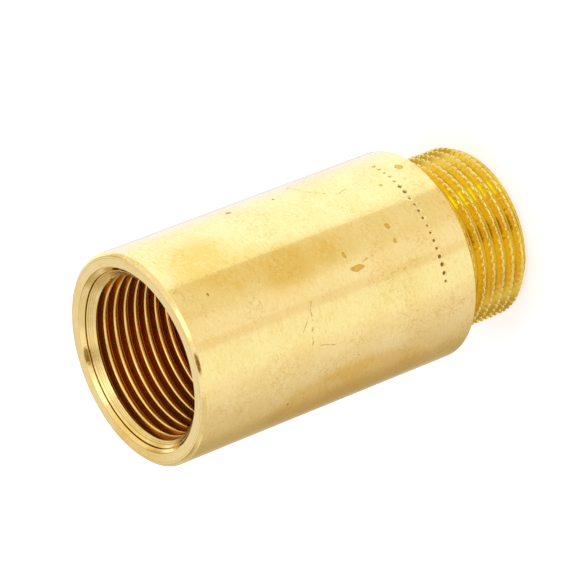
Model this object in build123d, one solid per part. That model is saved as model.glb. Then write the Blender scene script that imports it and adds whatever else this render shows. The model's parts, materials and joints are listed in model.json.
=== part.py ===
from build123d import *
import os
from math import radians, tan

# A brass pipe extension, turned from bar in one piece. Sizes are in millimetres.
# It stands on its threaded spigot with the open socket up. The axis is Z, and z = 0 is the spigot's end.

# Round body
body_diameter = 32.0
body_length = 50.0
shoulder_edge_chamfer = 0.8
mouth_edge_chamfer = 0.5

# Pipe thread of nominal size three quarters, the same one outside on the spigot and inside in the socket
thread_diameter = 26.44
thread_depth = 1.16

# Spigot: its lead-in runs from the end's core diameter out to the thread's crests
spigot_length = 12.0
spigot_lead_in = 1.3

# Socket: a countersink that clears the thread's roots, a tapped wall and the cone that the drill leaves
socket_depth = 20.0
countersink_clearance = 0.68
countersink_angle = 90.0
drill_point_angle = 118.0

# Waterway through to the spigot's end
bore_diameter = 20.0
bore_edge_chamfer = 0.5

# Radii and heights that follow from the sizes above
body_radius = body_diameter / 2
crest_radius = thread_diameter / 2
core_radius = crest_radius - thread_depth
bore_radius = bore_diameter / 2
mouth_radius = crest_radius + countersink_clearance
total_length = spigot_length + body_length
socket_floor = total_length - socket_depth
countersink_depth = (mouth_radius - core_radius) / tan(radians(countersink_angle / 2))
drill_cone_height = (core_radius - bore_radius) / tan(radians(drill_point_angle / 2))


def filled_outline(points):
    """A flat face in the XZ plane, inside the closed line through (radius, height) points."""
    return make_face(Polyline(*[(radius, 0, height) for radius, height in points], close=True))


def outer_outline():
    """Half of the bar as turned outside: spigot, shoulder and body, each with its broken edge."""
    return filled_outline([
        (0, 0),
        (core_radius, 0),
        (crest_radius, spigot_lead_in),
        (crest_radius, spigot_length),
        (body_radius - shoulder_edge_chamfer, spigot_length),
        (body_radius, spigot_length + shoulder_edge_chamfer),
        (body_radius, total_length - mouth_edge_chamfer),
        (body_radius - mouth_edge_chamfer, total_length),
        (0, total_length),
    ])


def waterway_outline():
    """Half of what is drilled out: the bore, the drill's cone, the socket at its tapping size, the countersink."""
    return filled_outline([
        (0, 0),
        (bore_radius + bore_edge_chamfer, 0),
        (bore_radius, bore_edge_chamfer),
        (bore_radius, socket_floor - drill_cone_height),
        (core_radius, socket_floor),
        (core_radius, total_length - countersink_depth),
        (mouth_radius, total_length),
        (0, total_length),
    ])


def extension_body():
    """The whole fitting: its half section turned once round the axis."""
    section = outer_outline() - waterway_outline()
    return revolve(section, Axis.Z)


os.makedirs("parts", exist_ok=True)
export_step(extension_body(), "parts/extension_body.step")
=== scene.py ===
import json
import random
from dataclasses import dataclass
from math import atan2, ceil, copysign, cos, degrees, exp, floor, hypot, inf, pi, radians, sin, tan
from typing import Callable

import bmesh
import bpy
from mathutils import Matrix, Vector


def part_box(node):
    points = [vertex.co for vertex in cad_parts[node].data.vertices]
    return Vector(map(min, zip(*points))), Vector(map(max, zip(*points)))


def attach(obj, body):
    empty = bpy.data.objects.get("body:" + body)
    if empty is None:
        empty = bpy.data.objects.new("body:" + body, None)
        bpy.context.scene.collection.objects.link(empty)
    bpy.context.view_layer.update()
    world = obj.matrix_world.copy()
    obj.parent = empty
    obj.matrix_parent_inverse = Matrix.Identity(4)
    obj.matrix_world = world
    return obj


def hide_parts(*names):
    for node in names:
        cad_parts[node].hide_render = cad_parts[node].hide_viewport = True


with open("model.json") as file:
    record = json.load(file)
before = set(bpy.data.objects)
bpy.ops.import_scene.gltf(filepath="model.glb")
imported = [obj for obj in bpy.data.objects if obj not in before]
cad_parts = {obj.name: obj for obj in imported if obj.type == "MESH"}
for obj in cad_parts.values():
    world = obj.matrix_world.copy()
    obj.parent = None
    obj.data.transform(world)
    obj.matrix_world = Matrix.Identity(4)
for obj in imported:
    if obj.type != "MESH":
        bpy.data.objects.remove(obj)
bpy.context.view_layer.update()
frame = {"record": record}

# The looks of a brass pipe extension: cut threads, a row of punched dots, a turned finish with its
# marks, and the studio round it. Sizes are in millimetres and angles in degrees, and MM turns sizes into
# Blender's metres.
# Angles on the body are counted from the front, which faces the camera, and grow towards +X.
MM = 0.001

# Main sizes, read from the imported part
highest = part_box("extension_body")[1]
mounts = {mount["name"]: mount for mount in frame["record"]["mounts"]}
body_radius = max(highest.x, highest.y) / MM
total_length = highest.z / MM
spigot_length = mounts["shoulder"]["pos_m"][2] / MM
spigot_lead_in = mounts["spigot_thread"]["pos_m"][2] / MM
crest_radius = mounts["spigot_thread"]["dims"]["r_mm"]
core_radius = mounts["socket_thread"]["dims"]["r_mm"]

# Smaller sizes of the turned section, as in the part
shoulder_edge_chamfer = 0.8
mouth_edge_chamfer = 0.5
countersink_clearance = 0.68
socket_depth = 20.0
drill_point_angle = 118.0
bore_radius = 10.0
bore_edge_chamfer = 0.5

# The countersink leans at 45 degrees, so radius and height change alike along it
countersink_lean = radians(45.0)

# Small roundings on the section's edges. Edges of the mesh that bend more than the sharp angle stay sharp.
edge_rounding = 0.12
edge_rounding_steps = 3
sharp_angle = 40.0

# Rings of points on the flat faces and the countersink: how far each stands from the corner next to it
face_margin = 0.4
mouth_outer_margin = 0.9
mouth_inner_margin = 0.6
countersink_margin = 0.3

# Radius and heights that follow from them
mouth_radius = crest_radius + countersink_clearance
socket_floor = total_length - socket_depth
drill_cone_foot = socket_floor - (core_radius - bore_radius) / tan(radians(drill_point_angle / 2))

# Pipe thread: fourteen turns to the inch, flanks at 55 degrees, flat ridges and round grooves
thread_pitch = 25.4 / 14
thread_depth = crest_radius - core_radius
thread_lean = radians(55.0 / 2)
groove_points = 5

# Half width of each thread's ridges, and how far their edges are broken
spigot_half_ridge = 0.07
spigot_broken_edge = 0.03
socket_half_ridge = 0.13
socket_broken_edge = 0.11

# Height of one ridge on the +X side, which sets where each thread starts
spigot_ridge_height = 0.16
socket_ridge_height = 0.16

# The socket's groove starts below the countersink's edge and runs out before the floor
socket_thread_top = total_length - 1.0
socket_thread_bottom = socket_floor + 0.6
socket_thread_entry = (total_length - 1.25, total_length - 2.0)
socket_thread_runout = (socket_floor + 1.5, socket_floor + 4.0)

# Notches cut across the spigot's ridges, one above the other from turn to turn
notches_per_turn = 65
notch_spacing = 2 * pi * crest_radius / notches_per_turn
notch_width = 0.62
notch_floor = 0.42
notch_depth = 0.28
notch_depth_spread = 0.2
first_notch_turn = -0.77 / 360

# A point belongs to a notch's floor up to a hair past the floor's edge
notch_reach = notch_floor * 0.51

# The inside has points at every third of the outside's columns
inside_spacing = 3

# A fine line that the tool left round the countersink, a little out of true
tool_line_radius = crest_radius
tool_line_swing = 0.11
tool_line_low_turn = -10 / 360
tool_line_width = 0.26
tool_line_depth = 0.22

# Row of punched dots round the front of the body
dot_count = 19
dot_first_angle = 59.0
dot_spacing = 4.4
dot_height = spigot_length + 5.92
dot_radius = 0.34
dot_depth = 0.18
dot_rim = 0.03
dot_slip = 0.07
dot_sizes = (0.8, 1.15)

# Shape of a dot in shares of its radius: the pit's wall, the rim round it and the edge of its dish
dot_wall = (0.3, 1.05)
dot_rim_place = 1.2
dot_rim_width = 0.2
dot_dish_edge = (1.25, 1.7)

# Dirt and painted shade fill the last dots fully, and the others less
dark_dots = 6
faint_dirt_and_shade = 0.75

# Half height of the band that the dots are pressed into, and how finely it is divided
dot_band = 0.75
dot_band_rows = 6
dot_band_cuts = 2

random_seed = 7


def angle_from_front(x, y):
    """Angle round the axis in degrees: zero faces the camera, and it grows towards +X."""
    return degrees(atan2(x, -y))


def on_body(angle, height):
    """The point of the round body at an angle from the front and a height."""
    return Vector((body_radius * sin(radians(angle)), -body_radius * cos(radians(angle)), height))


def smooth_step(value, start, end):
    """Zero at start and one at end, with a soft run between."""
    share = min(1.0, max(0.0, (value - start) / (end - start)))
    return share * share * (3 - 2 * share)


def outside_turns():
    """Shares of a turn where the outside has points: nine to a notch, its edges and floor among them."""
    edge = notch_width / 2 / notch_spacing
    foot = notch_floor / 2 / notch_spacing
    half = [0, (0.5 - edge) / 2, 0.5 - edge, 0.5 - foot, 0.5 - foot / 3]
    shares = half + [1 - share for share in reversed(half[1:])]
    return [
        first_notch_turn + (notch + share) / notches_per_turn
        for notch in range(notches_per_turn)
        for share in shares
    ]


turns_outside = outside_turns()
turns_inside = turns_outside[::inside_spacing]


class Skin:
    """Points and faces of one closed skin, added ring by ring round the axis.

    A point's recess is its share of the thread's depth, and its darkening is one where dirt and painted
    shade fill a mark.
    """

    def __init__(self):
        self.points = []
        self.recesses = []
        self.dirt_and_shade_values = []
        self.faces = []

    def point(self, radius, turn, height, recess=0.0, grime=0.0):
        """Adds one point, a share of a turn round from +X, and returns its number."""
        angle = 2 * pi * turn
        self.points.append((radius * cos(angle) * MM, radius * sin(angle) * MM, height * MM))
        self.recesses.append(recess)
        self.dirt_and_shade_values.append(grime)
        return len(self.points) - 1

    def ring(self, radius, height, turns):
        """Adds a level ring of points, and returns their numbers."""
        return [self.point(radius, turn, height) for turn in turns]

    def face(self, *corners):
        """Adds a face, leaving out a corner that repeats the one before it."""
        kept = [corner for place, corner in enumerate(corners) if corner != corners[place - 1]]
        if len(kept) > 2:
            self.faces.append(kept)

    def join(self, first, second):
        """Faces between two rings, where either may have several times as many points as the other."""
        columns = min(len(first), len(second))
        first_step = len(first) // columns
        second_step = len(second) // columns
        for column in range(columns):
            near = [first[(column * first_step + step) % len(first)] for step in range(first_step + 1)]
            far = [second[(column * second_step + step) % len(second)] for step in range(second_step + 1)]
            self.face(*near, *reversed(far))

    def strip(self, start_ring, outline, turns):
        """Carries the skin on from a ring through (radius, height) points, and returns the last ring."""
        last = start_ring
        for radius, height in outline:
            following = self.ring(radius, height, turns)
            self.join(last, following)
            last = following
        return last


def rounded(outline):
    """The outline with each inner corner turned into a small arc."""
    result = [outline[0]]
    for before, corner, after in zip(outline, outline[1:], outline[2:]):
        here = Vector(corner)
        towards = (Vector(before) - here).normalized()
        onwards = (Vector(after) - here).normalized()
        half_gap = towards.angle(onwards) / 2
        reach = edge_rounding / tan(half_gap)
        centre = here + (towards + onwards).normalized() * (edge_rounding / sin(half_gap))
        start = here + towards * reach - centre
        end = here + onwards * reach - centre
        for step in range(edge_rounding_steps + 1):
            arm = start.slerp(end, step / edge_rounding_steps).normalized() * edge_rounding
            result.append(tuple(centre + arm))
    return result + [outline[-1]]


def thread_outline(ridge_radius, groove_radius, half_ridge, broken_edge):
    """One pitch of a thread: (height, radius) points over a flat ridge and the round groove above it."""
    half_groove = thread_pitch / 2 - half_ridge - thread_depth * tan(thread_lean)
    groove_rounding = half_groove / (1 / cos(thread_lean) - tan(thread_lean))
    upper_side = [
        (half_ridge - broken_edge, 0.0),
        (half_ridge + broken_edge * sin(thread_lean), broken_edge * cos(thread_lean)),
        (half_ridge + notch_depth * tan(thread_lean), notch_depth),
    ]
    lower_side = [(-height, depth) for height, depth in reversed(upper_side)]
    swing = pi / 2 - thread_lean
    leans = [swing * (2 * step / (groove_points - 1) - 1) for step in range(groove_points)]
    groove = [
        (thread_pitch / 2 + groove_rounding * sin(lean), thread_depth - groove_rounding * (1 - cos(lean)))
        for lean in leans
    ]
    inwards = copysign(1, groove_radius - ridge_radius)
    return [(height, ridge_radius + inwards * depth) for height, depth in lower_side + upper_side + groove]


@dataclass
class Thread:
    """A helical thread between two heights, cut off by a cone at its open end."""

    bottom: float
    top: float
    ridge_height: float
    ridge_radius: float
    outline: list
    turns: list
    depth_at: Callable
    limit_at: Callable
    cone_at: Callable
    keep: Callable

    def column(self, turn):
        """(height, radius, recess) points up one column of the thread, cut off by the cone."""
        first_pitch = floor((self.bottom - self.ridge_height) / thread_pitch) - 1
        last_pitch = ceil((self.top - self.ridge_height) / thread_pitch)
        points = []
        for pitch in range(first_pitch, last_pitch + 1):
            limit = self.limit_at(pitch + turn)
            ridge = self.ridge_height + (pitch + turn) * thread_pitch
            for offset, radius in self.outline:
                groove = ridge + copysign(thread_pitch / 2, offset)
                cut_radius = core_radius + (radius - core_radius) * self.depth_at(groove)
                points.append((ridge + offset, min(cut_radius, limit)))
        return self.cut(points)

    def cut(self, points):
        """Keeps what the cone leaves, and moves the nearest point onto each edge that the cone cuts."""
        result = []
        for height, radius in points:
            kept = self.keep(radius, self.cone_at(height))
            result.append((height, kept, self.recess(radius) if kept == radius else 0.0))
        gaps = [radius - self.cone_at(height) for height, radius in points]
        for place, (gap, following) in enumerate(zip(gaps, gaps[1:])):
            if gap * following < 0:
                share = gap / (gap - following)
                low, high = points[place][0], points[place + 1][0]
                edge = low + (high - low) * share
                result[place + (share > 0.5)] = (edge, self.cone_at(edge), 0.0)
        return result

    def between(self, points, height):
        """Radius and recess of a column at any height, between its points."""
        for low, high in zip(points, points[1:]):
            if low[0] <= height <= high[0]:
                share = (height - low[0]) / max(high[0] - low[0], 1e-9)
                return Vector(low[1:]).lerp(Vector(high[1:]), share)
        return points[-1][1:]

    def recess(self, radius):
        """How deep a radius lies below the ridges, as a share of the thread's depth."""
        return abs(radius - self.ridge_radius) / thread_depth

    def add_to(self, skin):
        """Adds the thread's faces, and returns the rings at its bottom and its top."""
        margin = thread_pitch / 100
        bottom_ring, top_ring, grid = [], [], []
        for turn in self.turns:
            points = self.column(turn)
            for ring, height in ((bottom_ring, self.bottom), (top_ring, self.top)):
                radius, recess = self.between(points, height)
                ring.append(skin.point(radius, turn, height, recess))
            numbers = []
            for height, radius, recess in points:
                if height <= self.bottom + margin:
                    numbers.append(bottom_ring[-1])
                elif height >= self.top - margin:
                    numbers.append(top_ring[-1])
                else:
                    numbers.append(skin.point(radius, turn, height, recess))
            grid.append(numbers)
        rows = len(grid[0])
        grid.append([grid[0][min(row + len(self.outline), rows - 1)] for row in range(rows)])
        for left, right in zip(grid, grid[1:]):
            for row in range(rows - 1):
                skin.face(left[row], right[row], right[row + 1], left[row + 1])
        return bottom_ring, top_ring


def notched_radius(turns):
    """Largest radius that the notches leave at a point of the spigot's helix, counted in turns."""
    place = (turns - first_notch_turn) * notches_per_turn
    number = floor(place)
    if abs(place - number - 0.5) * notch_spacing > notch_reach:
        return inf
    spread = random.Random(random_seed + number).uniform(-notch_depth_spread, notch_depth_spread)
    return crest_radius - notch_depth * (1 + spread)


def spigot_thread():
    """The outside thread, whose ridges the lead-in cone cuts down at the spigot's end."""
    slope = thread_depth / spigot_lead_in
    return Thread(
        bottom=0.0,
        top=spigot_length,
        ridge_height=spigot_ridge_height,
        ridge_radius=crest_radius,
        outline=thread_outline(crest_radius, core_radius, spigot_half_ridge, spigot_broken_edge),
        turns=turns_outside,
        depth_at=lambda groove_height: 1.0,
        limit_at=notched_radius,
        cone_at=lambda height: core_radius + slope * height,
        keep=min,
    )


def socket_thread():
    """The inside thread, whose grooves run out into the countersink at the mouth."""
    def depth_at(groove_height):
        run_out = smooth_step(groove_height, *socket_thread_runout)
        return run_out * smooth_step(groove_height, *socket_thread_entry)

    return Thread(
        bottom=socket_thread_bottom,
        top=socket_thread_top,
        ridge_height=socket_ridge_height,
        ridge_radius=core_radius,
        outline=thread_outline(core_radius, crest_radius, socket_half_ridge, socket_broken_edge),
        turns=turns_inside,
        depth_at=depth_at,
        limit_at=lambda turns: inf,
        cone_at=lambda height: mouth_radius - (total_length - height),
        keep=max,
    )


def body_outline():
    """Shoulder, body and mouth, from the spigot's corner to the flat ring round the mouth."""
    below_dots = rounded([
        (crest_radius + face_margin, spigot_length),
        (body_radius - shoulder_edge_chamfer, spigot_length),
        (body_radius, spigot_length + shoulder_edge_chamfer),
        (body_radius, dot_height - dot_band),
    ])
    row_height = 2 * dot_band / dot_band_rows
    dot_rows = [(body_radius, dot_height - dot_band + row_height * row) for row in range(1, dot_band_rows)]
    above_dots = rounded([
        (body_radius, dot_height + dot_band),
        (body_radius, total_length - mouth_edge_chamfer),
        (body_radius - mouth_edge_chamfer, total_length),
        (mouth_radius + mouth_outer_margin, total_length),
    ])
    return below_dots + dot_rows + above_dots


def cone_ring(skin, inwards, sunk=0.0, grime=0.0):
    """A ring on the countersink, some way inwards from the tool's line and sunk below the cone."""
    slant = cos(countersink_lean)
    ring = []
    for turn in turns_inside:
        line_radius = tool_line_radius - tool_line_swing * cos(2 * pi * (turn - tool_line_low_turn))
        radius = line_radius - inwards * slant + sunk * slant
        height = total_length - mouth_radius + line_radius - (inwards + sunk) * slant
        ring.append(skin.point(radius, turn, height, grime=grime))
    return ring


def add_countersink(skin, ring):
    """Carries the skin from the mouth's flat ring down the countersink, over the tool's line."""
    edge = rounded([
        (mouth_radius + mouth_inner_margin, total_length),
        (mouth_radius, total_length),
        (mouth_radius - countersink_margin, total_length - countersink_margin),
    ])
    last = skin.strip(ring, edge, turns_inside)
    rings = [
        cone_ring(skin, -tool_line_width / 2),
        # The bottom of the tool's line is dark with dirt and painted shade
        cone_ring(skin, 0.0, tool_line_depth, grime=1.0),
        cone_ring(skin, tool_line_width / 2),
    ]
    for following in rings:
        skin.join(last, following)
        last = following
    return last


def bore_outline():
    """From the end of the socket's thread over the drill's cone and down the bore to the spigot's end."""
    return rounded([
        (core_radius, socket_thread_bottom),
        (core_radius, socket_floor),
        (bore_radius, drill_cone_foot),
        (bore_radius, bore_edge_chamfer),
        (bore_radius + bore_edge_chamfer, 0),
        (bore_radius + bore_edge_chamfer + face_margin, 0),
    ])


def body_skin():
    """The whole turned skin: up the outside, into the mouth and down the waterway to where it started."""
    skin = Skin()
    spigot_end, shoulder = spigot_thread().add_to(skin)
    ring = skin.strip(shoulder, body_outline(), turns_outside)
    ring = add_countersink(skin, ring)
    thread_end, thread_start = socket_thread().add_to(skin)
    skin.join(ring, thread_start)
    ring = skin.strip(thread_end, bore_outline()[1:], turns_inside)
    skin.join(ring, spigot_end)
    return skin


def in_dot_band(place):
    """Whether a point in millimetres lies on the part of the body where the dots are punched."""
    last_angle = dot_first_angle - dot_spacing * (dot_count - 1)
    angle = angle_from_front(place.x, place.y)
    return (
        abs(place.z - dot_height) < dot_band
        and abs(hypot(place.x, place.y) - body_radius) < edge_rounding
        and last_angle - dot_spacing < angle < dot_first_angle + dot_spacing
    )


def dot_depth_at(angle, height, slips):
    """Depth of the nearest dot at a point of the body: a pit with a rim, in a shallow dish."""
    number = min(dot_count - 1, max(0, round((dot_first_angle - angle) / dot_spacing)))
    slip_round, slip_along, size = slips[number]
    round_body = radians(angle - dot_first_angle + dot_spacing * number) * body_radius - slip_round
    distance = hypot(round_body, height - dot_height - slip_along) / (dot_radius * size)
    dish = dot_rim * (1 - smooth_step(distance, *dot_dish_edge))
    rim = dot_rim * exp(-((distance - dot_rim_place) / dot_rim_width) ** 2)
    pit = dot_depth * size * (1 - smooth_step(distance, *dot_wall))
    return max(0.0, pit + dish - rim)


def punch_dots(mesh):
    """Divides the skin finely along the row of dots and presses each dot into it."""
    chance = random.Random(random_seed)
    slips = [
        (
            chance.uniform(-dot_slip, dot_slip),
            chance.uniform(-dot_slip, dot_slip),
            chance.uniform(*dot_sizes),
        )
        for _ in range(dot_count)
    ]
    darkest_from = dot_first_angle - dot_spacing * (dot_count - dark_dots - 0.5)
    grime = mesh.verts.layers.float["grime"]
    faces = [face for face in mesh.faces if in_dot_band(face.calc_center_median() / MM)]
    edges = list({edge for face in faces for edge in face.edges})
    bmesh.ops.subdivide_edges(mesh, edges=edges, cuts=dot_band_cuts, use_grid_fill=True)
    for vertex in mesh.verts:
        place = vertex.co / MM
        if in_dot_band(place):
            angle = angle_from_front(place.x, place.y)
            depth = dot_depth_at(angle, place.z, slips)
            share = (body_radius - depth) / hypot(place.x, place.y)
            vertex.co.x *= share
            vertex.co.y *= share
            # Dirt and painted shade grow with the pit's depth, and fill the last dots most
            vertex[grime] = depth / dot_depth * (1.0 if angle < darkest_from else faint_dirt_and_shade)


def make_body():
    """The fitting's visible piece, in place of the plain solid."""
    skin = body_skin()
    data = bpy.data.meshes.new("extension_body_turned")
    data.from_pydata(skin.points, [], skin.faces)
    data.attributes.new("recess", "FLOAT", "POINT").data.foreach_set("value", skin.recesses)
    data.attributes.new("grime", "FLOAT", "POINT").data.foreach_set("value", skin.dirt_and_shade_values)
    mesh = bmesh.new()
    mesh.from_mesh(data)
    punch_dots(mesh)
    bmesh.ops.recalc_face_normals(mesh, faces=mesh.faces)
    mesh.to_mesh(data)
    mesh.free()
    data.shade_smooth()
    data.set_sharp_from_angle(angle=radians(sharp_angle))
    body = bpy.data.objects.new("extension_body_turned", data)
    bpy.context.scene.collection.objects.link(body)
    normals = body.modifiers.new("flat_flanks", "WEIGHTED_NORMAL")
    normals.keep_sharp = True
    return body


class Nodes:
    """Short calls that add shader nodes to one node tree."""

    def __init__(self, owner):
        owner.use_nodes = True
        self.tree = owner.node_tree
        self.tree.nodes.clear()

    def add(self, kind, **settings):
        """Adds a node with some of its properties set."""
        node = self.tree.nodes.new(kind)
        for name, value in settings.items():
            setattr(node, name, value)
        return node

    def feed(self, socket, value):
        """Links a socket to another one, or sets its value."""
        if isinstance(value, bpy.types.NodeSocket):
            self.tree.links.new(value, socket)
        else:
            socket.default_value = value

    def math(self, operation, *values, clamp=False):
        node = self.add("ShaderNodeMath", operation=operation, use_clamp=clamp)
        for socket, value in zip(node.inputs, values):
            self.feed(socket, value)
        return node.outputs[0]

    def times(self, first, second):
        return self.math("MULTIPLY", first, second)

    def vector(self, operation, *values):
        node = self.add("ShaderNodeVectorMath", operation=operation)
        for socket, value in zip(node.inputs, values):
            self.feed(socket, value)
        return node.outputs["Value" if operation in ("LENGTH", "DOT_PRODUCT") else "Vector"]

    def scaled(self, vector, factor):
        node = self.add("ShaderNodeVectorMath", operation="SCALE")
        self.feed(node.inputs["Vector"], vector)
        self.feed(node.inputs["Scale"], factor)
        return node.outputs["Vector"]

    def combine(self, x, y, z):
        node = self.add("ShaderNodeCombineXYZ")
        for socket, value in zip(node.inputs, (x, y, z)):
            self.feed(socket, value)
        return node.outputs[0]

    def split(self, vector):
        node = self.add("ShaderNodeSeparateXYZ")
        self.feed(node.inputs[0], vector)
        return node.outputs

    def attribute(self, name):
        """A number that the mesh carries at each of its points."""
        return self.add("ShaderNodeAttribute", attribute_name=name).outputs["Fac"]

    def noise(self, place, scale, detail=2.0, output="Fac"):
        node = self.add("ShaderNodeTexNoise")
        self.feed(node.inputs["Vector"], place)
        node.inputs["Scale"].default_value = scale
        node.inputs["Detail"].default_value = detail
        return node.outputs[output]

    def cells(self, place, scale):
        """Distance to the nearest of many scattered points, as a share of their spacing."""
        node = self.add("ShaderNodeTexVoronoi")
        self.feed(node.inputs["Vector"], place)
        node.inputs["Scale"].default_value = scale
        return node.outputs["Distance"]

    def ramp(self, value, start, end, low=0.0, high=1.0):
        """A soft run from low to high while value goes from start to end."""
        node = self.add("ShaderNodeMapRange", interpolation_type="SMOOTHSTEP")
        for name, setting in (
            ("Value", value), ("From Min", start), ("From Max", end), ("To Min", low), ("To Max", high)
        ):
            self.feed(node.inputs[name], setting)
        return node.outputs[0]

    def colours(self, value, stops):
        """A colour that runs through (place, colour) stops."""
        node = self.add("ShaderNodeValToRGB")
        self.feed(node.inputs[0], value)
        elements = node.color_ramp.elements
        while len(elements) < len(stops):
            elements.new(1.0)
        for element, (place, colour) in zip(elements, stops):
            element.position = place
            element.color = (*colour, 1)
        return node.outputs["Color"]

    def mix(self, share, first, second):
        """Blends two colours."""
        node = self.add("ShaderNodeMix", data_type="RGBA")
        self.feed(node.inputs[0], share)
        for socket, colour in ((node.inputs[6], first), (node.inputs[7], second)):
            self.feed(socket, colour if isinstance(colour, bpy.types.NodeSocket) else (*colour, 1))
        return node.outputs[2]

    def largest(self, values):
        result = values[0]
        for value in values[1:]:
            result = self.math("MAXIMUM", result, value)
        return result

    def shader_output(self, kind, shader):
        self.feed(self.add(kind).inputs["Surface"], shader.outputs[0])


# Colours of the brass
brass_pale = (0.965, 0.785, 0.345)
brass_golden = (0.87, 0.60, 0.16)
# Grooves and roots are painted darker than the metal: on the spigot a deeper gold of painted shade and
# bounced light, in the socket a brown that is partly oxide and partly painted shade, darkest at the roots.
spigot_groove_shade = (0.86, 0.615, 0.085)
spigot_root_shade = (0.66, 0.42, 0.03)
socket_groove_oxide_and_shade = (0.55, 0.165, 0.006)
socket_root_oxide_and_shade = (0.44, 0.125, 0.004)
first_groove = (0.17, 0.055, 0.004)
stain_orange = (0.76, 0.45, 0.04)
scuff_brown = (0.62, 0.36, 0.03)
mark_brown = (0.36, 0.17, 0.01)
# Dirt and painted shade in the dots and at the bottom of the tool's line
dirt_and_shade_brown = (0.24, 0.125, 0.015)

# Noises of the finish: how often each repeats in a millimetre
turning_scale = 4.6
grain_scale = 1.6
cloud_scale = 0.16
stir_scale = 1.1
worn_scale = 0.15
scuff_scale = 0.8
speck_scale = 0.8
fleck_scale = 2.4

# A noise swings about this value
noise_middle = 0.5

# Turning lines hardly change round the axis, the grain runs the same way, and the stir bends every edge
turning_round = 0.12
grain_stretch = (0.7, 0.7, 1.3)
grain_in_mottling = 0.8
stir_reach = 0.7

# Where each noise or mesh value starts to show, and where it shows fully
mottling_range = (0.72, 1.08)
turning_range = (0.42, 0.72)
worn_range = (0.46, 0.62)
scuff_range = (0.022, 0.0)
speck_range = (0.10, 0.04)
fleck_range = (0.52, 0.70)
dirt_and_shade_range = (0.3, 0.9)
groove_range = (0.08, 0.30)
# Painted shade deepens towards the threads' roots over this range.
root_shade_range = (0.7, 0.95)

# How strongly each of them colours the metal
# The threads' strength sets a painted golden tint for light bounced between their flanks.
thread_bounce_strength = 0.6
mottling_strength = 0.3
turning_strength = 0.26
fleck_strength = 0.2
scuff_strength = 0.55
speck_strength = 0.8
first_groove_strength = 0.6
stain_strength = 0.9
rim_strength = 0.4
scratch_strength = 0.7
pit_strength = 0.85
mouth_line_strength = 0.35
dirt_and_shade_strength = 0.9

# A tarnish patch is full where the metal is mottled this much, and weakest where it isn't mottled
patch_mottling = 0.6
patch_weakest = 0.6

# Zones of the finish: the radii or heights between which each fades in
round_radii = (body_radius - 0.7, body_radius - 0.5)
spigot_heights = (spigot_length + 0.1, spigot_length)
tapping_radii = (crest_radius + 0.3, crest_radius + 0.1)
tapping_heights = (total_length - 1.85, total_length - 2.05)
first_groove_heights = (total_length - 3.4, total_length - 2.2)
cone_radii = (tool_line_radius - 0.1, tool_line_radius - 0.25)
cone_heights = (total_length - 2.0, total_length - 1.8)
mouth_line_heights = (total_length - 1.9, total_length - 1.8)

# Gloss: roughness of the clean metal, which changes with its clouds and grain, and what dull places add
shine_range = (0.6, 1.4)
clean_roughness = (0.07, 0.13)
dull_roughness = 0.15
dull_groove_range = (0.05, 0.3)
dull_groove_strength = 0.3
anisotropy = 0.75
anisotropy_turn = 0.25

# A thin film makes the socket's grooves a little less metallic
film_metallic = 0.86

# Relief of the finish
turning_relief = 0.5
grain_relief = 0.5
fleck_relief = 0.5
bump_strength = 0.35
bump_distance = 0.02

# Tarnish spots on the body: angle from the front, height, half width round the body, half length along it
stains = [
    (3.0, 31.8, 0.48, 1.15),
    (17.6, 24.1, 0.55, 0.36),
    (9.0, 24.1, 0.36, 0.28),
    (50.4, 15.2, 0.62, 0.60),
    (42.0, 20.4, 0.32, 0.24),
    (11.7, 33.0, 0.45, 0.28),
]

# Broad golden tarnish: angle from the front, height, half width, half length and the share that is its core
tarnish_patches = [
    (18.0, 35.0, 3.8, 7.5, 0.1),
    (17.5, 42.5, 4.6, 6.5, 0.4),
    (26.0, 49.5, 4.6, 8.0, 0.4),
    (37.0, 53.5, 5.6, 9.0, 0.3),
    (-66.0, 35.0, 5.9, 15.0, 0.8),
    (-128.0, 62.5, 9.0, 5.0, 0.3),
]

# Scratches on the body, as (angle from the front, height) points
scratches = [
    [(71.9, 30.96), (64.7, 30.93), (59.2, 30.46), (54.1, 29.2), (48.9, 28.2), (47.1, 27.1), (48.5, 25.3)],
    [(16.7, 47.6), (14.3, 47.8)],
    [(-12.6, 42.4), (-14.9, 43.2), (-18.4, 43.75)],
    [(-3.6, 41.2), (-6.4, 41.5), (-13.8, 41.9)],
    [(-17.0, 42.2), (-26.0, 42.5)],
    [(-28.6, 41.2), (-28.2, 40.4), (-30.8, 38.6)],
    [(-41.8, 45.4), (-39.6, 43.7)],
    [(-41.0, 35.1), (-42.7, 34.1)],
    [(6.5, 32.6), (4.6, 31.9)],
    [(4.6, 30.9), (5.6, 29.7)],
]
scratch_half_width = 0.09

# A spot's core and edge, and the outer and inner side of the darker rim of a stain, in shares of its size
spot_core = 0.7
spot_edge = 1.1
rim_outside = (1.15, 0.95)
rim_inside = (0.55, 0.85)

# The share of a thin line's width that is its full core
line_core = 1 / 3

# Faint lines that the tool left round the mouth: radius and half width
mouth_lines = [
    (mouth_radius, 0.07),
    (tool_line_radius - 0.34, 0.10),
    (tool_line_radius - 0.55, 0.06),
    (tool_line_radius - 0.76, 0.06),
    (body_radius - 0.8, 0.05),
]

# Small dark pits on the body: angle from the front, height, half width
pits = [
    (17.9, 56.2, 0.22),
    (-58.0, 46.4, 0.24),
    (67.6, 42.5, 0.42),
    (63.6, 35.3, 0.28),
    (71.0, 31.0, 0.28),
]


def oval(nodes, place, angle, height, width, length):
    """How far a place lies from the middle of an oval on the body: one is the oval's edge."""
    away = nodes.vector("SUBTRACT", place, on_body(angle, height))
    return nodes.vector("LENGTH", nodes.vector("DIVIDE", away, (width, width, length)))


def spot(nodes, place, angle, height, width, length, core=spot_core):
    """A mask that is one in the core of an oval on the body and fades out at its edge."""
    return nodes.ramp(oval(nodes, place, angle, height, width, length), spot_edge, core)


def rim(nodes, place, *stain):
    """A mask that is one along the edge of a stain."""
    share = oval(nodes, place, *stain)
    return nodes.times(nodes.ramp(share, *rim_outside), nodes.ramp(share, *rim_inside))


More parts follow.
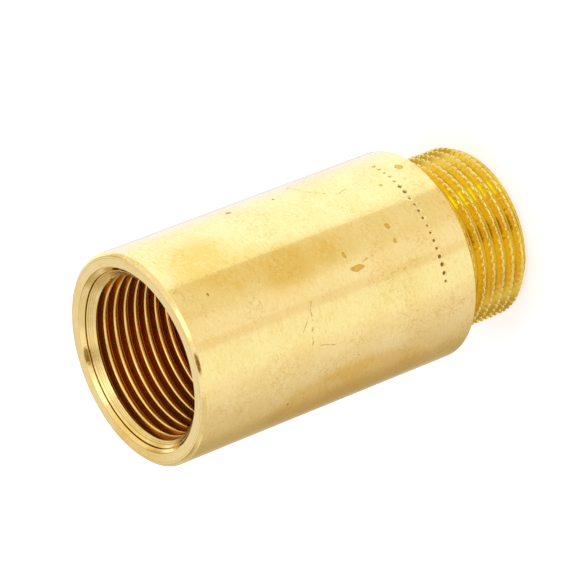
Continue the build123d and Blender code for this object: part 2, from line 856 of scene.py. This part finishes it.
def scratch(nodes, place, route):
    """A mask that is one on a thin line through points of the body."""
    gaps = []
    for start, end in zip(route, route[1:]):
        along = on_body(*end) - on_body(*start)
        away = nodes.vector("SUBTRACT", place, on_body(*start))
        progress = nodes.vector("DOT_PRODUCT", away, along / along.length_squared)
        share = nodes.math("ADD", progress, 0.0, clamp=True)
        gap = nodes.vector("LENGTH", nodes.vector("SUBTRACT", away, nodes.scaled(along, share)))
        gaps.append(nodes.ramp(gap, scratch_half_width, scratch_half_width * line_core))
    return nodes.largest(gaps)


def mouth_line(nodes, at, line_radius, half_width):
    """A mask that is one on a thin ring near the mouth."""
    gap = nodes.math("ABSOLUTE", nodes.math("SUBTRACT", at.radius, line_radius))
    near_mouth = nodes.ramp(at.height, *mouth_line_heights)
    return nodes.times(nodes.ramp(gap, half_width, half_width * line_core), near_mouth)


class Surface:
    """Where a point of the brass lies, in millimetres, and the noises of its finish there."""

    def __init__(self, nodes):
        self.place = nodes.scaled(nodes.add("ShaderNodeTexCoord").outputs["Object"], 1 / MM)
        x, y, self.height = nodes.split(self.place)
        self.radius = nodes.vector("LENGTH", nodes.combine(x, y, 0.0))
        self.recess = nodes.attribute("recess")
        self.grime = nodes.attribute("grime")
        self.grooved = nodes.ramp(self.recess, *groove_range)
        self.in_socket = nodes.ramp(self.height, spigot_length, socket_floor)
        section = nodes.math("ADD", self.height, self.radius)
        along_line = nodes.combine(nodes.times(x, turning_round), nodes.times(y, turning_round), section)
        self.turning = nodes.noise(along_line, turning_scale, detail=3.0)
        along_grain = nodes.vector("MULTIPLY", self.place, grain_stretch)
        self.grain = nodes.noise(along_grain, grain_scale, detail=4.0)
        self.clouds = nodes.noise(self.place, cloud_scale, detail=4.0)
        stir = nodes.noise(self.place, stir_scale, output="Color")
        push = nodes.vector("SUBTRACT", stir, (noise_middle, noise_middle, noise_middle))
        self.uneven = nodes.vector("ADD", self.place, nodes.scaled(push, stir_reach))


def rubbing(nodes, at, flecks):
    """A mask of the light wear on the round of the body: flecks, fine bent scuffs and scattered specks."""
    worn = nodes.ramp(nodes.noise(at.place, worn_scale, detail=3.0), *worn_range)
    bends = nodes.math("SUBTRACT", nodes.noise(at.uneven, scuff_scale, detail=3.0), noise_middle)
    scuffs = nodes.ramp(nodes.math("ABSOLUTE", bends), *scuff_range)
    specks = nodes.ramp(nodes.cells(at.uneven, speck_scale), *speck_range)
    rubbed = nodes.largest([
        nodes.times(flecks, fleck_strength),
        nodes.times(nodes.times(scuffs, worn), scuff_strength),
        nodes.times(nodes.times(specks, worn), speck_strength),
    ])
    return nodes.times(rubbed, nodes.ramp(at.radius, *round_radii))


class Marks:
    """Masks of the marks on the brass, each from zero to one."""

    def __init__(self, nodes, at):
        self.flecks = nodes.ramp(nodes.noise(at.uneven, fleck_scale, detail=4.0), *fleck_range)
        self.rubbed = rubbing(nodes, at, self.flecks)
        self.stained = nodes.largest([spot(nodes, at.uneven, *stain) for stain in stains])
        rimmed = nodes.largest([rim(nodes, at.uneven, *stain) for stain in stains])
        scratched = nodes.largest([scratch(nodes, at.uneven, route) for route in scratches])
        pitted = nodes.largest([spot(nodes, at.uneven, *pit, pit[-1]) for pit in pits])
        lined = nodes.largest([mouth_line(nodes, at, *line) for line in mouth_lines])
        self.brown = nodes.largest([
            nodes.times(rimmed, rim_strength),
            nodes.times(scratched, scratch_strength),
            nodes.times(pitted, pit_strength),
            nodes.times(lined, mouth_line_strength),
        ])
        # Dirt and painted shade in the dots and the tool's line
        self.grime = nodes.ramp(at.grime, *dirt_and_shade_range, high=dirt_and_shade_strength)
        self.together = nodes.largest([self.stained, self.brown, self.grime])


def metal_colour(nodes, at):
    """The metal before its marks: pale, golden in clouds and where it is tarnished, and a painted golden
    tint of bounced light on the threads.
    """
    on_spigot = nodes.ramp(at.height, *spigot_heights)
    on_tapping = nodes.times(nodes.ramp(at.radius, *tapping_radii), nodes.ramp(at.height, *tapping_heights))
    # On the threads the golden tint is painted light, bounced between the flanks
    thread_bounce_tint = nodes.largest([on_spigot, nodes.times(on_tapping, at.in_socket)])
    cloudy = nodes.math("ADD", at.clouds, nodes.times(at.grain, grain_in_mottling))
    mottling = nodes.ramp(cloudy, *mottling_range)
    patches = nodes.largest([spot(nodes, at.uneven, *patch) for patch in tarnish_patches])
    golden_shares = [
        nodes.times(thread_bounce_tint, thread_bounce_strength),
        nodes.times(mottling, mottling_strength),
        nodes.times(patches, nodes.ramp(mottling, 0.0, patch_mottling, low=patch_weakest)),
        nodes.ramp(at.turning, *turning_range, high=turning_strength),
    ]
    colour = brass_pale
    for share in golden_shares:
        colour = nodes.mix(share, colour, brass_golden)
    return colour


def with_grooves(nodes, at, colour):
    """Adds the threads' grooves: a deeper gold on the spigot that is painted shade and bounced light, a
    brown in the socket that is partly oxide and partly painted shade, painted shade darkest at their roots,
    and darker in the first groove inside the mouth.
    """
    groove_oxide_and_shade = nodes.mix(at.in_socket, spigot_groove_shade, socket_groove_oxide_and_shade)
    root_oxide_and_shade = nodes.mix(at.in_socket, spigot_root_shade, socket_root_oxide_and_shade)
    near_mouth = nodes.times(at.grooved, nodes.ramp(at.height, *first_groove_heights))
    colour = nodes.mix(at.grooved, colour, groove_oxide_and_shade)
    colour = nodes.mix(nodes.ramp(at.recess, *root_shade_range), colour, root_oxide_and_shade)
    return nodes.mix(nodes.times(near_mouth, first_groove_strength), colour, first_groove)


def brass_colour(nodes, at, marks):
    """Colour of the brass, from the clean metal to the marks on it."""
    colour = nodes.mix(marks.rubbed, metal_colour(nodes, at), scuff_brown)
    colour = with_grooves(nodes, at, colour)
    colour = nodes.mix(nodes.times(marks.stained, stain_strength), colour, stain_orange)
    colour = nodes.mix(marks.brown, colour, mark_brown)
    # Darkest where dirt and painted shade fill the dots and the tool's line
    return nodes.mix(marks.grime, colour, dirt_and_shade_brown)


def brass_roughness(nodes, at, marks):
    """Marks, grooves and the part of the countersink inside the tool's line shine less."""
    in_cone = nodes.times(nodes.ramp(at.radius, *cone_radii), nodes.ramp(at.height, *cone_heights))
    in_groove = nodes.ramp(at.recess, *dull_groove_range, high=dull_groove_strength)
    dulled = nodes.largest([marks.together, in_cone, in_groove])
    smoothest, roughest = clean_roughness
    uneven_shine = nodes.math("ADD", at.clouds, at.grain)
    clean = nodes.ramp(uneven_shine, *shine_range, low=smoothest, high=roughest)
    return nodes.math("ADD", clean, nodes.times(dulled, dull_roughness))


def brass_normal(nodes, at, marks):
    """Fine relief of the turning lines and the grain, with the marks sunk into it."""
    raised = nodes.math("ADD", nodes.times(at.turning, turning_relief), nodes.times(at.grain, grain_relief))
    sunk = nodes.math("ADD", marks.together, nodes.times(marks.flecks, fleck_relief))
    bump = nodes.add("ShaderNodeBump")
    bump.inputs["Strength"].default_value = bump_strength
    bump.inputs["Distance"].default_value = bump_distance * MM
    nodes.feed(bump.inputs["Height"], nodes.math("SUBTRACT", raised, sunk))
    return bump.outputs[0]


def make_brass():
    """Bright turned brass: lines round the axis, cloudy tarnish, light wear, stains, scratches and pits,
    with painted shade and bounced light in the threads.
    """
    material = bpy.data.materials.new("turned_brass")
    nodes = Nodes(material)
    at = Surface(nodes)
    marks = Marks(nodes, at)
    shader = nodes.add("ShaderNodeBsdfPrincipled")
    shader.inputs["Specular IOR Level"].default_value = 0.0
    shader.inputs["Anisotropic"].default_value = anisotropy
    shader.inputs["Anisotropic Rotation"].default_value = anisotropy_turn
    filmed = nodes.times(at.grooved, at.in_socket)
    nodes.feed(shader.inputs["Metallic"], nodes.ramp(filmed, 0.0, 1.0, low=1.0, high=film_metallic))
    nodes.feed(shader.inputs["Base Color"], brass_colour(nodes, at, marks))
    nodes.feed(shader.inputs["Roughness"], brass_roughness(nodes, at, marks))
    nodes.feed(shader.inputs["Normal"], brass_normal(nodes, at, marks))
    tangent = nodes.add("ShaderNodeTangent", direction_type="RADIAL", axis="Z")
    nodes.feed(shader.inputs["Tangent"], tangent.outputs[0])
    nodes.shader_output("ShaderNodeOutputMaterial", shader)
    return material


# Studio: floor, room and lights. Directions round the axis are counted in degrees from +X.
floor_side = 8000.0
floor_colour = (0.74, 0.77, 0.82)
floor_roughness = 0.9
floor_glow = 0.48

# Colours of the room against how far a direction turns to its dark side, low down behind the fitting
room_dark_side = Vector((-0.459, 0.655, -0.6)).normalized()
room_colours = [
    (0.28, (1.02, 0.985, 1.01)),
    (0.65, (0.86, 0.81, 0.86)),
    (0.80, (0.77, 0.70, 0.68)),
    (0.91, (0.70, 0.615, 0.51)),
    (1.00, (0.53, 0.425, 0.26)),
]

# Soft ovals on the room's walls: azimuth, elevation, half width, half height and colour.
# Broad shades come first, the last of them straight below, then two lamps, then two unlit places.
room_ovals = [
    (-50.0, -32.0, 28.0, 16.0, (0.93, 0.87, 0.76)),
    (-124.0, -32.0, 18.0, 20.0, (1.03, 1.06, 1.06)),
    (-101.0, -30.0, 5.5, 16.0, (0.96, 0.89, 0.82)),
    (90.0, 34.0, 34.0, 22.0, (0.87, 0.84, 0.90)),
    (56.0, 26.0, 26.0, 20.0, (0.62, 0.50, 0.30)),
    (126.0, 26.0, 28.0, 24.0, (0.50, 0.40, 0.24)),
    (172.0, 38.0, 36.0, 22.0, (0.80, 0.75, 0.75)),
    (-172.0, 15.0, 28.0, 13.0, (0.42, 0.34, 0.24)),
    (-8.0, 15.0, 28.0, 13.0, (0.42, 0.34, 0.24)),
    (0.0, -90.0, 34.0, 34.0, (0.78, 0.70, 0.55)),
    (-67.0, 58.0, 17.0, 14.0, (1.6, 1.6, 1.7)),
    (-48.0, -8.0, 15.0, 14.0, (1.5, 2.3, 1.6)),
    (-124.0, 57.0, 10.0, 10.0, (0.24, 0.13, 0.01)),
    (-100.0, -9.0, 18.0, 14.0, (0.36, 0.24, 0.12)),
]

# Shares of an oval's size between which it fades in, and how those on the far side are kept from showing
oval_fade = (1.0, 0.5)
oval_far_side = (0.2, 0.0)
oval_far_share = 2.0

# A softbox of cool light on the +X side, the upper side in the picture, that reaches below the floor
softbox_azimuth = 21.0
softbox_half_angle = 55.0
softbox_distance = 1400.0
softbox_middle = -900.0
softbox_height = 2600.0
softbox_colour = (0.375, 0.625, 1.0)
softbox_radiance = 0.48


def direction_at(azimuth, elevation):
    """A unit vector from its two angles."""
    turn, rise = radians(azimuth), radians(elevation)
    return Vector((cos(rise) * cos(turn), cos(rise) * sin(turn), sin(rise)))


def make_floor():
    """A wide pale floor. Mirror-like metal looks past it to the studio, as it does past a small table."""
    data = bpy.data.meshes.new("floor")
    half = floor_side / 2 * MM
    corners = [(-half, -half, 0), (half, -half, 0), (half, half, 0), (-half, half, 0)]
    data.from_pydata(corners, [], [(0, 1, 2, 3)])
    floor_object = bpy.data.objects.new("floor", data)
    bpy.context.scene.collection.objects.link(floor_object)
    material = bpy.data.materials.new("floor")
    nodes = Nodes(material)
    shader = nodes.add("ShaderNodeBsdfPrincipled")
    shader.inputs["Base Color"].default_value = (*floor_colour, 1)
    shader.inputs["Roughness"].default_value = floor_roughness
    shader.inputs["Emission Color"].default_value = (1, 1, 1, 1)
    shader.inputs["Emission Strength"].default_value = floor_glow
    nodes.shader_output("ShaderNodeOutputMaterial", shader)
    data.materials.append(material)
    floor_object.visible_glossy = False


def make_world():
    """A pale room that is darker low down behind the fitting, with soft ovals on its walls."""
    world = bpy.data.worlds.new("studio")
    bpy.context.scene.world = world
    nodes = Nodes(world)
    direction = nodes.add("ShaderNodeTexCoord").outputs["Generated"]
    room = nodes.colours(nodes.vector("DOT_PRODUCT", direction, room_dark_side), room_colours)
    for azimuth, elevation, half_width, half_height, colour in room_ovals:
        centre = direction_at(azimuth, elevation)
        across = direction_at(azimuth + 90, 0.0) / sin(radians(half_width))
        upwards = direction_at(azimuth, elevation + 90) / sin(radians(half_height))
        ahead = nodes.vector("DOT_PRODUCT", direction, centre)
        sideways = nodes.vector("DOT_PRODUCT", direction, across)
        rise = nodes.vector("DOT_PRODUCT", direction, upwards)
        behind = nodes.ramp(ahead, *oval_far_side, high=oval_far_share)
        share = nodes.vector("LENGTH", nodes.combine(sideways, rise, behind))
        room = nodes.mix(nodes.ramp(share, *oval_fade), room, colour)
    background = nodes.add("ShaderNodeBackground")
    nodes.feed(background.inputs["Color"], room)
    nodes.shader_output("ShaderNodeOutputWorld", background)


def axes_matrix(right, up, back):
    """A rotation whose columns are the three axes."""
    return Matrix((right, up, back)).transposed().to_4x4()


def make_softbox():
    """A panel of light that faces the fitting's axis and looks as bright as its radiance."""
    light = bpy.data.lights.new("softbox", "AREA")
    light.shape = "RECTANGLE"
    light.size = 2 * softbox_distance * tan(radians(softbox_half_angle)) * MM
    light.size_y = softbox_height * MM
    light.color = softbox_colour
    light.energy = softbox_radiance * pi * light.size * light.size_y
    softbox = bpy.data.objects.new("softbox", light)
    bpy.context.scene.collection.objects.link(softbox)
    out = direction_at(softbox_azimuth, 0.0)
    up = Vector((0, 0, 1))
    place = out * softbox_distance * MM + up * softbox_middle * MM
    softbox.matrix_world = Matrix.Translation(place) @ axes_matrix(up.cross(out), up, out)
    softbox.visible_camera = False


# Camera: where the photograph looks from. The picture is rolled, so the standing part lies across it.
camera_target = Vector((1.39, 2.43, 32.2)) * MM
camera_distance = 680.0 * MM
camera_elevation = 32.09
camera_roll = -111.27
camera_lens = 290.76
camera_sensor = 36.0


def make_camera():
    """A long lens at the photograph's viewing angle."""
    data = bpy.data.cameras.new("camera")
    data.sensor_width = camera_sensor
    data.lens = camera_lens
    camera = bpy.data.objects.new("camera", data)
    bpy.context.scene.collection.objects.link(camera)
    rise, roll = radians(camera_elevation), radians(camera_roll)
    back = Vector((0, -cos(rise), sin(rise)))
    level_right = Vector((1, 0, 0))
    level_up = back.cross(level_right)
    right = level_right * cos(roll) + level_up * sin(roll)
    up = back.cross(right)
    place = camera_target + back * camera_distance
    camera.matrix_world = Matrix.Translation(place) @ axes_matrix(right, up, back)
    bpy.context.scene.camera = camera


body = make_body()
body.data.materials.append(make_brass())
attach(body, "root")
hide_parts("extension_body")

make_floor()
make_world()
make_softbox()
make_camera()
bpy.context.scene.view_settings.view_transform = "Standard"
